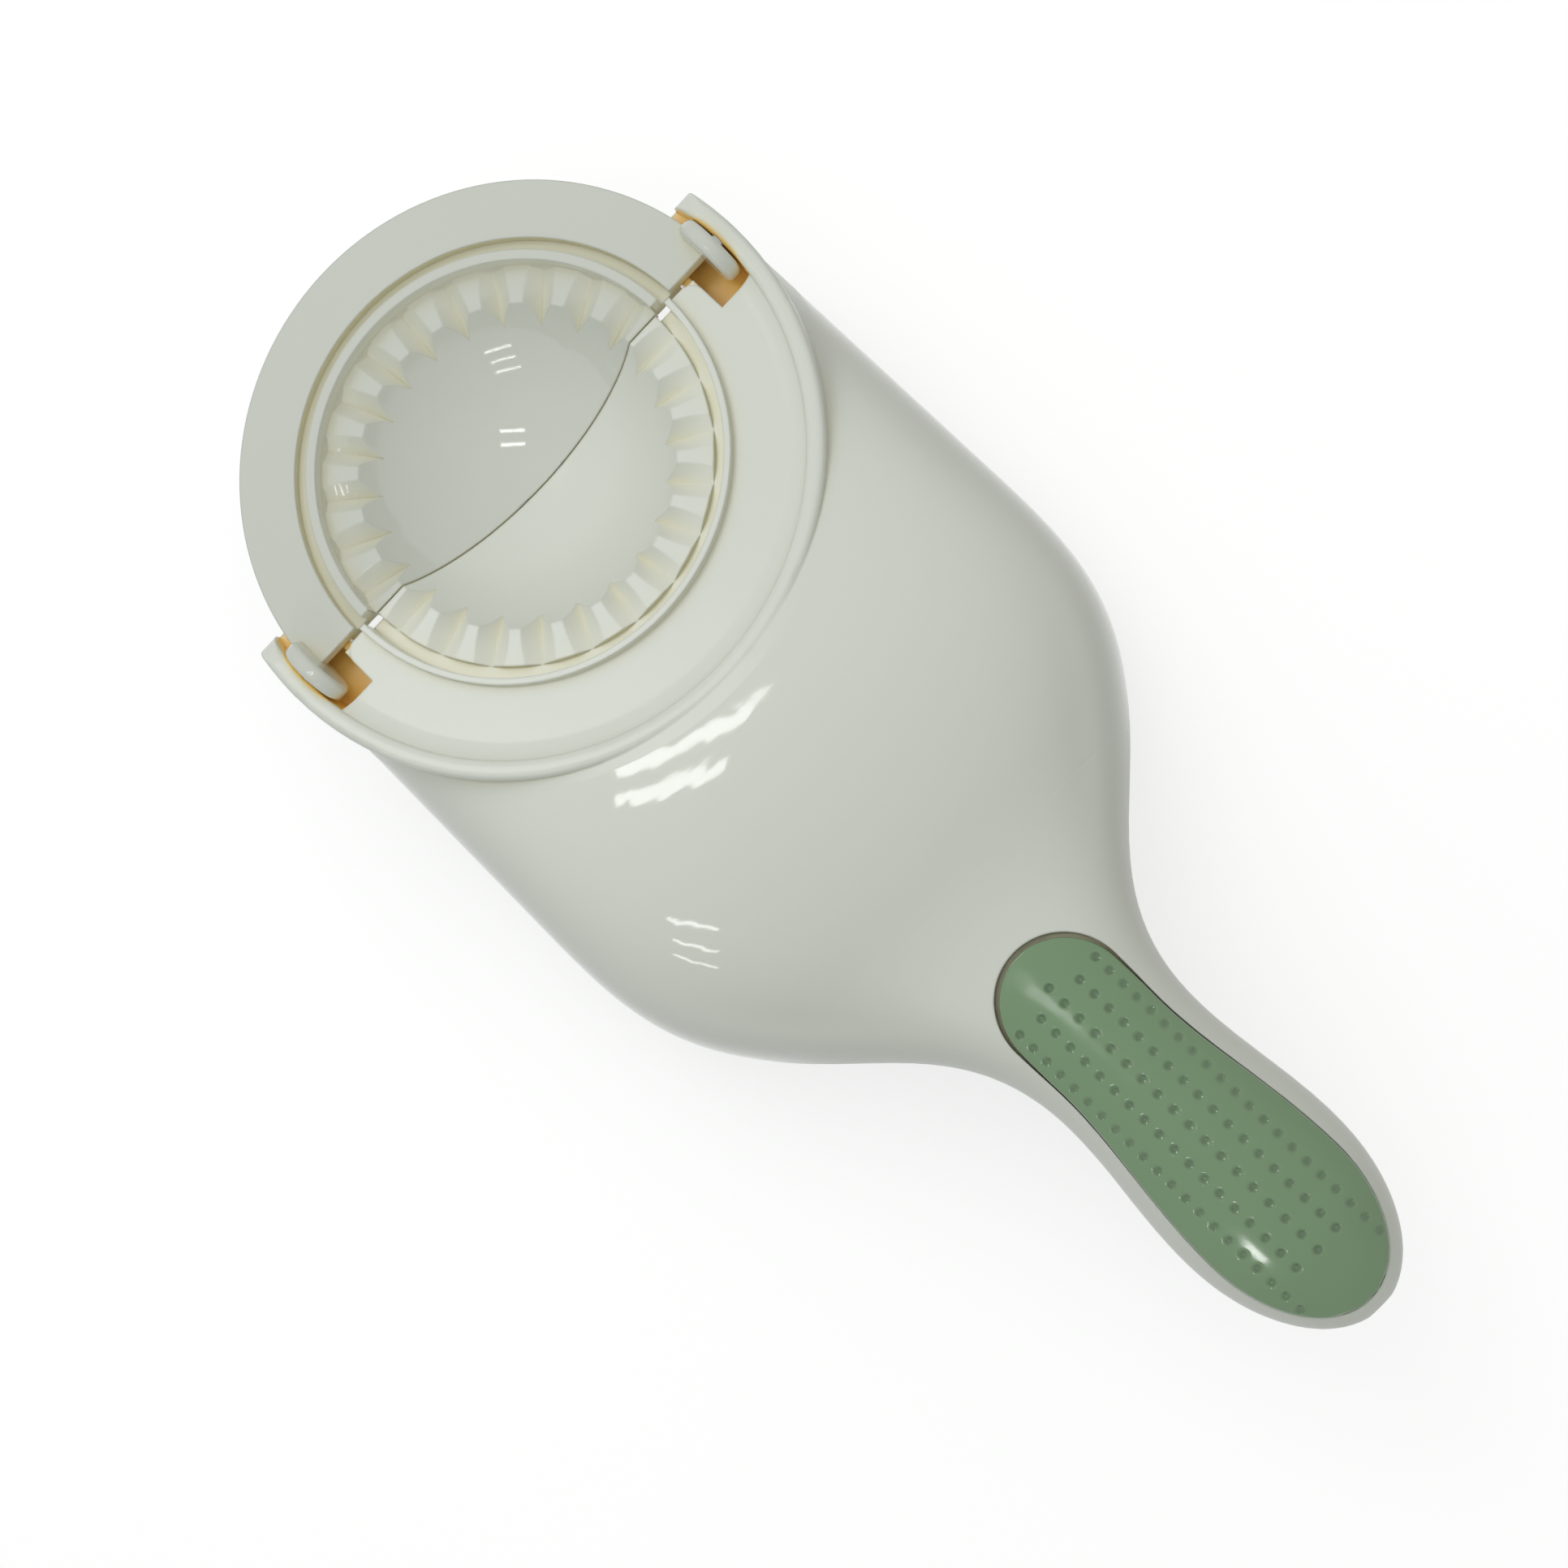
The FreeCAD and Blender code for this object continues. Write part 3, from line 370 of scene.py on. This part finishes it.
def add_even_crown(tree):
    """The hull's two halves meet along its crown, and the normal's sideways part fades out there."""
    side, along = add_place(tree)
    fade = add_range(tree, side, (0.0, CROWN_HALF_WIDTH), smooth=True)
    mould = add_math(tree, "LESS_THAN", along, CROWN_START)
    scale = tree.nodes.new("ShaderNodeCombineXYZ")
    scale.inputs["X"].default_value = 1.0
    scale.inputs["Z"].default_value = 1.0
    tree.links.new(add_math(tree, "MAXIMUM", fade, mould), scale.inputs["Y"])
    surface = tree.nodes.new("ShaderNodeNewGeometry")
    scaled = add_vector_math(tree, "MULTIPLY", surface.outputs["Normal"], scale.outputs["Vector"])
    return add_vector_math(tree, "NORMALIZE", scaled)


def add_dome(tree, normal):
    """Leans the hull's shading along its length, as a dome's would."""
    _, along = add_place(tree)
    split = tree.nodes.new("ShaderNodeSeparateXYZ")
    tree.links.new(normal, split.inputs["Vector"])
    ends = [DOME_TOP + lean * DOME_RADIUS for lean in DOME_LEAN]
    lean = add_range(tree, along, ends, DOME_LEAN)
    before_end = add_range(tree, along, DOME_END, (1.0, 0.0), smooth=True)
    upward = add_range(tree, split.outputs["Z"], DOME_UPWARD, smooth=True)
    for share in (before_end, add_outside(tree), upward):
        lean = add_math(tree, "MULTIPLY", lean, share)
    tilt = tree.nodes.new("ShaderNodeCombineXYZ")
    tree.links.new(lean, tilt.inputs["X"])
    leaning = add_vector_math(tree, "ADD", normal, tilt.outputs["Vector"])
    return add_vector_math(tree, "NORMALIZE", leaning)


def add_ripples(tree, normal):
    """The long shallow ripples that the mould left in the hull."""
    place = tree.nodes.new("ShaderNodeTexCoord")
    turned = tree.nodes.new("ShaderNodeMapping")
    turned.inputs["Rotation"].default_value = (0.0, 0.0, -RIPPLE_TURN)
    turned.inputs["Scale"].default_value = RIPPLES
    noise = tree.nodes.new("ShaderNodeTexNoise")
    noise.inputs["Scale"].default_value = 1.0
    noise.inputs["Detail"].default_value = RIPPLE_DETAIL
    tree.links.new(place.outputs["Object"], turned.inputs["Vector"])
    tree.links.new(turned.outputs["Vector"], noise.inputs["Vector"])
    return add_bump(tree, normal, noise.outputs["Fac"], RIPPLE_DEPTH)


# Materials

def make_white_plastic(name, hull=False):
    """Glossy white plastic, with painted shade and bounce light in its recesses. The hull's has more to
    it.
    """
    material, tree, shader = new_material(name, IVORY, HULL_ROUGHNESS)
    openness = add_openness(tree, RECESS_REACH)
    # Painted shade and bounce light in the recesses.
    shades = add_painted_light_and_shade(tree, openness, RECESS_SHADE_STOPS)
    if hull:
        add_hull_roughness(tree, shader)
        # Painted glow of light through the hinges' thin cups.
        shades = add_painted_hinge_glow(tree, openness, shades)
        normal = add_eased_edges(tree, add_even_crown(tree))
        normal = add_ripples(tree, add_dome(tree, normal))
    else:
        normal = add_eased_edges(tree, None)
    add_mottled(tree, shader, shades, WHITE_MOTTLE)
    tree.links.new(add_waves(tree, normal, WHITE_WAVES), shader.inputs["Normal"])
    return material


def make_green_plastic():
    """Glossy green plastic, with painted shade in its dimples."""
    material, tree, shader = new_material("green_grip", SAGE, GRIP_ROUGHNESS)
    shades = add_painted_light_and_shade(tree, add_openness(tree, DIMPLE_REACH), DIMPLE_SHADE_STOPS)
    add_mottled(tree, shader, shades, GREEN_MOTTLE)
    tree.links.new(add_waves(tree, None, GREEN_WAVES), shader.inputs["Normal"])
    return material


def make_steel():
    """Plain steel of the pins and screws."""
    material, tree, shader = new_material("steel", STEEL, STEEL_ROUGHNESS)
    shader.inputs["Metallic"].default_value = 1.0
    add_mottled(tree, shader, STEEL, STEEL_MOTTLE)
    return material


def dress(piece, material):
    """Gives a piece of the frame its material."""
    piece.data.materials.clear()
    piece.data.materials.append(material)


# The dimpled grip

def world_mesh(piece):
    """A piece's points and triangles in the row's frame."""
    mesh = piece.data
    mesh.calc_loop_triangles()
    points = [piece.matrix_world @ vertex.co for vertex in mesh.vertices]
    faces = [tuple(triangle.vertices) for triangle in mesh.loop_triangles]
    return points, faces


def side_profile(points, faces):
    """Half widths of a piece along X, read from its upright side walls."""
    rim = {}
    for a, b, c in faces:
        normal = (points[b] - points[a]).cross(points[c] - points[a])
        if normal.length > 0 and abs(normal.z) < WALL_SLOPE * normal.length:
            for index in (a, b, c):
                rim[round(points[index].x, 6)] = abs(points[index].y)
    places = np.array(sorted(rim))
    return places, np.array([rim[place] for place in places])


def smooth_rows(field, passes):
    """Averages a height field with its neighbours, its edge rows running on in line."""
    for _ in range(passes):
        for axis in (0, 1):
            line = np.moveaxis(field, axis, 0)
            before = np.concatenate([2 * line[:1] - line[1:2], line[:-1]])
            after = np.concatenate([line[1:], 2 * line[-1:] - line[-2:-1]])
            line = (before + 2 * line + after) / 4
            field = np.moveaxis(line, 0, axis)
    return field


def crown_heights(points, faces, x, y, along, across):
    """The plain grip's heights at the grid's points, filled in where a ray misses it."""
    tree = BVHTree.FromPolygons(points, faces)
    sky = max(point.z for point in points) + READING_HEIGHT
    z = np.zeros_like(x)
    for i in range(GRIP_STEPS):
        for j in range(GRIP_COLUMNS):
            start = Vector((x[i, j], y[i, j] * GRIP_READING_SHARE, sky))
            spot, *_ = tree.ray_cast(start, Vector((0, 0, -1)))
            z[i, j] = spot.z if spot else np.nan
    for i in range(GRIP_STEPS):
        known = ~np.isnan(z[i])
        z[i] = np.interp(across, across[known], z[i][known]) if known.any() else np.nan
    known = ~np.isnan(z).any(axis=1)
    for j in range(GRIP_COLUMNS):
        z[:, j] = np.interp(along, along[known], z[known, j])
    return smooth_rows(z, SMOOTHING_PASSES)


def skin_faces():
    """Faces of a closed skin: the grid on top, the same grid below it, and the walls between them."""
    count = GRIP_STEPS * GRIP_COLUMNS
    quads = []
    for i in range(GRIP_STEPS - 1):
        for j in range(GRIP_COLUMNS - 1):
            a = i * GRIP_COLUMNS + j
            b = a + GRIP_COLUMNS
            quads.append((a, b, b + 1, a + 1))
            quads.append((a + count, a + 1 + count, b + 1 + count, b + count))
    for i in range(GRIP_STEPS - 1):
        a = i * GRIP_COLUMNS
        b = a + GRIP_COLUMNS
        a_end = b - 1
        b_end = b + GRIP_COLUMNS - 1
        quads.append((a, a + count, b + count, b))
        quads.append((a_end, b_end, b_end + count, a_end + count))
    last = (GRIP_STEPS - 1) * GRIP_COLUMNS
    for j in range(GRIP_COLUMNS - 1):
        quads.append((j, j + 1, j + 1 + count, j + count))
        quads.append((last + j, last + j + count, last + j + 1 + count, last + j + 1))
    return quads


def build_grip(node, material):
    """The green grip with its rows of dimples, laid over the plain grip's outline and crown."""
    points, faces = world_mesh(node)
    places, widths = side_profile(points, faces)
    front, back = places[0], places[-1]
    middle = (front + back) / 2
    turns = np.linspace(0.0, math.pi, GRIP_STEPS)
    along = middle - (back - front) / 2 * np.cos(turns) * GRIP_LENGTH_SHARE
    half = np.sqrt(np.interp(along, places, widths ** 2))
    across = np.linspace(-1.0, 1.0, GRIP_COLUMNS)
    x = np.repeat(along[:, None], GRIP_COLUMNS, axis=1)
    y = half[:, None] * across[None, :]
    z = crown_heights(points, faces, x, y, along, across)

    edge = np.minimum(half[:, None] - np.abs(y), np.minimum(x - front, back - x))
    inward = np.clip(GRIP_EDGE_ROUND - edge, 0.0, GRIP_EDGE_ROUND)
    z -= GRIP_EDGE_ROUND - np.sqrt(GRIP_EDGE_ROUND ** 2 - inward ** 2)
    seated = SEAT_GAP * np.clip((x - front) / SEAT_LENGTH, 0.0, 1.0)
    y = y + seated * across[None, :]
    x = x + SEAT_GAP * np.clip((x - middle) / (back - middle), 0.0, 1.0)
    drawn_in = NOSE_GAP * np.clip(1 - (x - front) / NOSE_LENGTH, 0.0, 1.0)
    x = x + drawn_in
    y = y * (1 - drawn_in / NOSE_RADIUS)
    for row_y, first, pitch, count in DIMPLE_ROWS_MM:
        for step in range(count):
            centre = front + (first + pitch * step) * MM
            share = ((x - centre) ** 2 + (y - row_y * MM) ** 2) / DIMPLE_RADIUS ** 2
            z -= DIMPLE_DEPTH * np.clip(1 - share, 0.0, 1.0)

    top = np.stack([x, y, z], -1).reshape(-1, 3)
    bottom = np.stack([x, y, z - GRIP_SKIN], -1).reshape(-1, 3)
    mesh = bpy.data.meshes.new("dimpled_grip")
    mesh.from_pydata([tuple(p) for p in np.concatenate([top, bottom]).tolist()], [], skin_faces())
    mesh.validate()
    mesh.polygons.foreach_set("use_smooth", [True] * len(mesh.polygons))
    grip = bpy.data.objects.new("dimpled_grip", mesh)
    scene.collection.objects.link(grip)
    grip.data.materials.append(material)
    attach(grip, "body")
    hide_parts(node.name)
    return grip


# Camera, world, lamps and floor

def photo_axes():
    """Right, down and forward of the photograph's camera."""
    c, s = math.cos(PHOTO_TURN), math.sin(PHOTO_TURN)
    flat = Matrix(((c, s, 0.0), (s, -c, 0.0), (0.0, 0.0, -1.0)))
    x_turn, y_turn, z_turn = (Matrix.Rotation(angle, 3, axis)
                              for angle, axis in zip(PHOTO_TILT, "XYZ"))
    axes = z_turn @ y_turn @ x_turn @ flat
    return (Vector(axes[i]) for i in range(3))


def add_camera():
    """The camera at the photograph's viewing angle."""
    data = bpy.data.cameras.new("Camera")
    camera = bpy.data.objects.new("Camera", data)
    scene.collection.objects.link(camera)
    scene.camera = camera
    data.sensor_width = PHOTO_SENSOR
    data.lens = PHOTO_LENS
    data.clip_start, data.clip_end = PHOTO_CLIP
    right, down, forward = photo_axes()
    pose = Matrix((right, -down, -forward)).transposed().to_4x4()
    pose.translation = PHOTO_EYE
    camera.matrix_world = pose


def backdrop_share(tree):
    """1 for rays of the camera, and for those that a shiny or clear surface sends out, and else 0."""
    path = tree.nodes.new("ShaderNodeLightPath")
    share = path.outputs["Is Camera Ray"]
    for name in ("Is Glossy Ray", "Is Transmission Ray"):
        share = add_math(tree, "MAXIMUM", share, path.outputs[name])
    return share


def add_world():
    """Soft light, stronger from above, cool from one side and warm from the other, before plain white."""
    world = bpy.data.worlds.new("World")
    scene.world = world
    world.use_nodes = True
    tree = world.node_tree
    tree.nodes.clear()
    surface = tree.nodes.new("ShaderNodeOutputWorld")
    place = tree.nodes.new("ShaderNodeTexCoord")
    split = tree.nodes.new("ShaderNodeSeparateXYZ")
    tree.links.new(place.outputs["Generated"], split.inputs["Vector"])
    height = add_range(tree, split.outputs["Z"], target=(HORIZON_LIGHT, ZENITH_LIGHT))
    side = add_range(tree, split.outputs["Y"], (-1.0, 1.0))
    soft = tree.nodes.new("ShaderNodeBackground")
    tree.links.new(height, soft.inputs["Strength"])
    tree.links.new(add_mix(tree, side, COOL_SIDE, WARM_SIDE), soft.inputs["Color"])
    plain = tree.nodes.new("ShaderNodeBackground")
    plain.inputs["Color"].default_value = BACKDROP
    mix = tree.nodes.new("ShaderNodeMixShader")
    tree.links.new(backdrop_share(tree), mix.inputs["Fac"])
    tree.links.new(soft.outputs["Background"], mix.inputs[1])
    tree.links.new(plain.outputs["Background"], mix.inputs[2])
    tree.links.new(mix.outputs["Shader"], surface.inputs["Surface"])


def add_lamp(name, direction, long_way, size, strength, distance, lights):
    """A flat lamp of the given size and brightness, facing the press. It lights only the pieces in
    lights, or everything if there are none."""
    data = bpy.data.lights.new(name, "AREA")
    data.shape = "RECTANGLE"
    data.size, data.size_y = size
    data.energy = strength * math.pi * size[0] * size[1]
    lamp = bpy.data.objects.new(name, data)
    scene.collection.objects.link(lamp)
    away = Vector(direction).normalized()
    across = away.cross(Vector(long_way)).normalized()
    turn = Matrix((across.cross(away), across, away)).transposed().to_4x4()
    turn.translation = LAMP_TARGET + away * distance
    lamp.matrix_world = turn
    lamp.visible_camera = False
    if lights:
        group = bpy.data.collections.new(name + " pieces")
        for piece in lights:
            group.objects.link(piece)
        lamp.light_linking.receiver_collection = group
    return lamp


def add_tubes(name, direction, long_way, count, length, width, apart, strength, lights):
    """A row of parallel tube lamps."""
    away = Vector(direction).normalized()
    across = away.cross(Vector(long_way)).normalized()
    for index in range(count):
        shift = across * apart * (index - (count - 1) / 2) / TUBE_DISTANCE
        add_lamp("%s %d" % (name, index + 1), away + shift, long_way, (length, width), strength,
                 TUBE_DISTANCE, lights)


def add_floor():
    """A pale floor. Where no shadow falls, it looks as white as the backdrop."""
    bpy.ops.mesh.primitive_plane_add(size=FLOOR_SIZE, location=(0.0, 0.0, -FLOOR_DROP))
    floor = bpy.context.object
    floor.name = "Floor"
    material, tree, shader = new_material("pale_floor", FLOOR_GREY, FLOOR_ROUGHNESS)
    shader.inputs["Emission Color"].default_value = BACKDROP
    lift = add_math(tree, "MULTIPLY", backdrop_share(tree), FLOOR_LIFT)
    tree.links.new(lift, shader.inputs["Emission Strength"])
    floor.data.materials.append(material)


# The press and its surroundings

hull_plastic = make_white_plastic("hull_plastic", hull=True)
white_plastic = make_white_plastic("white_plastic")
steel = make_steel()
dress(nodes["body_shell"], hull_plastic)
for name in ("base_cover", "front_mould"):
    dress(nodes[name], white_plastic)
for name in ("hinge_pin_left", "hinge_pin_right", "cover_screws"):
    dress(nodes[name], steel)
grip = build_grip(nodes["grip_inlay"], make_green_plastic())

add_camera()
add_world()
add_floor()
groups = {
    "body": [nodes["body_shell"], nodes["base_cover"]],
    "flap": [nodes["front_mould"]],
    "grip": [grip],
}
for name, direction, side, strength, distance, group in SOFT_LAMPS:
    lamp = add_lamp(name, direction, (0, 1, 0), (side, side), strength, distance, groups.get(group))
    lamp.visible_glossy = False
for *row, group in TUBES:
    add_tubes(*row, groups[group])
scene.view_settings.view_transform = "Standard"
